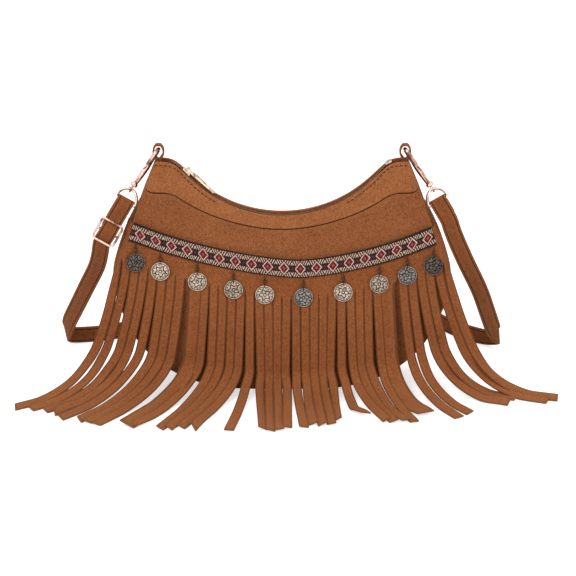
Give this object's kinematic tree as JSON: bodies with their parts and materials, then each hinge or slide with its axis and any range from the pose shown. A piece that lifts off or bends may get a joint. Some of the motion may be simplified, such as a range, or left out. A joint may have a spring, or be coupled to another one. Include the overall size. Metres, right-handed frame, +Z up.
{
  "type": "fringed shoulder bag",
  "caption": "Suede crescent shoulder bag standing on its flat base, with a curved zip, woven ribbon, hanging coins, long spreading fringe and a hooked adjustable strap.",
  "frame": {"origin": "middle of the flat base, on the table", "axes": "+Z up, the ribbon and fringe face -Y, +X towards the bag's left-hand side as worn, which is right in the picture"},
  "size_m": [0.4604, 0.3333, 0.2116],
  "materials": {
    "cognac_suede": "matte suede",
    "fringe_suede": "matte suede",
    "woven_ribbon": "woven, matte",
    "antique_silver": "aged, satin",
    "dark_chain": "dark, satin",
    "rose_gold": "polished",
    "pale_gold": "polished",
    "dark_teeth": "dark, satin",
    "zip_tape": "woven, matte"
  },
  "bodies": {
    "bag": {"front_panel": "cognac_suede", "back_panel": "cognac_suede", "front_band": "cognac_suede", "back_band": "cognac_suede", "gusset": "cognac_suede", "strap": "cognac_suede", "tab_left": "cognac_suede", "tab_right": "cognac_suede", "fringe": "fringe_suede", "ribbon": "woven_ribbon", "hook_left": "rose_gold", "hook_right": "rose_gold", "d_ring_left": "rose_gold", "d_ring_right": "rose_gold", "buckle_frame": "rose_gold", "zip_clip": "pale_gold", "zip_teeth": "dark_teeth", "zip_tape_front": "zip_tape", "zip_tape_back": "zip_tape"},
    "slider": {"zip_slider": "pale_gold"},
    "pull": {"zip_pull": "pale_gold"},
    "gate_l": {"gate_left": "rose_gold"},
    "gate_r": {"gate_right": "rose_gold"},
    "eye_l": {"swivel_left": "rose_gold"},
    "eye_r": {"swivel_right": "rose_gold"},
    "hung_coin_01": {"coin_01": "antique_silver", "coin_chain_01": "dark_chain"},
    "hung_coin_02": {"coin_02": "antique_silver", "coin_chain_02": "dark_chain"},
    "hung_coin_03": {"coin_03": "antique_silver", "coin_chain_03": "dark_chain"},
    "hung_coin_04": {"coin_04": "antique_silver", "coin_chain_04": "dark_chain"},
    "hung_coin_05": {"coin_05": "antique_silver", "coin_chain_05": "dark_chain"},
    "hung_coin_06": {"coin_06": "antique_silver", "coin_chain_06": "dark_chain"},
    "hung_coin_07": {"coin_07": "antique_silver", "coin_chain_07": "dark_chain"},
    "hung_coin_08": {"coin_08": "antique_silver", "coin_chain_08": "dark_chain"},
    "hung_coin_09": {"coin_09": "antique_silver", "coin_chain_09": "dark_chain"},
    "hung_coin_10": {"coin_10": "antique_silver", "coin_chain_10": "dark_chain"}
  },
  "joints": [
    {"name": "zip_slide", "type": "hinge", "parent": "bag", "child": "slider", "pos_m": [0, 0, 0.258], "axis": [0, -1, 0], "range_deg": [0, 94]},
    {"name": "pull_flip", "type": "hinge", "parent": "slider", "child": "pull", "pos_m": [-0.07902, 0, 0.18931], "axis": [0, -1, 0], "range_deg": [0, 150]},
    {"name": "gate_left", "type": "hinge", "parent": "bag", "child": "gate_l", "pos_m": [-0.12402, -0.00642, 0.18], "axis": [-0.8088, 0.2319, 0.5404], "range_deg": [0, 20], "stiffness_Nm_per_rad": 0.004, "springref_deg": -11.46},
    {"name": "gate_right", "type": "hinge", "parent": "bag", "child": "gate_r", "pos_m": [0.12402, -0.00642, 0.18], "axis": [-0.8088, -0.2319, -0.5404], "range_deg": [0, 20], "stiffness_Nm_per_rad": 0.004, "springref_deg": -11.46},
    {"name": "swivel_left", "type": "hinge", "parent": "bag", "child": "eye_l", "pos_m": [-0.128, -0.004, 0.173], "axis": [0.5581, 0.0131, 0.8296], "range_deg": [-20, 20]},
    {"name": "swivel_right", "type": "hinge", "parent": "bag", "child": "eye_r", "pos_m": [0.128, -0.004, 0.173], "axis": [-0.5581, 0.0131, 0.8296], "range_deg": [-20, 20]},
    {"name": "coin_swing_01", "type": "hinge", "parent": "bag", "child": "hung_coin_01", "pos_m": [-0.12418, -0.02262, 0.12934], "axis": [-0.9837, -0.1782, 0.0223], "range_deg": [0, 75]},
    {"name": "coin_swing_02", "type": "hinge", "parent": "bag", "child": "hung_coin_02", "pos_m": [-0.10348, -0.02287, 0.12159], "axis": [-0.9997, 0.0227, -0.0029], "range_deg": [0, 75]},
    {"name": "coin_swing_03", "type": "hinge", "parent": "bag", "child": "hung_coin_03", "pos_m": [-0.07216, -0.02253, 0.1122], "axis": [-0.9999, -0.0149, 0.0023], "range_deg": [0, 75]},
    {"name": "coin_swing_04", "type": "hinge", "parent": "bag", "child": "hung_coin_04", "pos_m": [-0.04131, -0.02228, 0.10498], "axis": [-1, -0.0003, 0.0001], "range_deg": [0, 75]},
    {"name": "coin_swing_05", "type": "hinge", "parent": "bag", "child": "hung_coin_05", "pos_m": [-0.01469, -0.0225, 0.10046], "axis": [-0.9999, 0.0135, -0.0026], "range_deg": [0, 75]},
    {"name": "coin_swing_06", "type": "hinge", "parent": "bag", "child": "hung_coin_06", "pos_m": [0.01845, -0.02303, 0.09812], "axis": [-1, 0.0039, -0.0007], "range_deg": [0, 75]},
    {"name": "coin_swing_07", "type": "hinge", "parent": "bag", "child": "hung_coin_07", "pos_m": [0.05237, -0.02313, 0.10285], "axis": [-1, 0.0075, -0.0013], "range_deg": [0, 75]},
    {"name": "coin_swing_08", "type": "hinge", "parent": "bag", "child": "hung_coin_08", "pos_m": [0.08307, -0.02341, 0.11044], "axis": [-0.9999, 0.0108, -0.0015], "range_deg": [0, 75]},
    {"name": "coin_swing_09", "type": "hinge", "parent": "bag", "child": "hung_coin_09", "pos_m": [0.10689, -0.02337, 0.11819], "axis": [-0.9993, -0.0358, 0.0043], "range_deg": [0, 75]},
    {"name": "coin_swing_10", "type": "hinge", "parent": "bag", "child": "hung_coin_10", "pos_m": [0.12875, -0.02379, 0.12725], "axis": [-0.9818, 0.1885, -0.0213], "range_deg": [0, 75]}
  ]
}
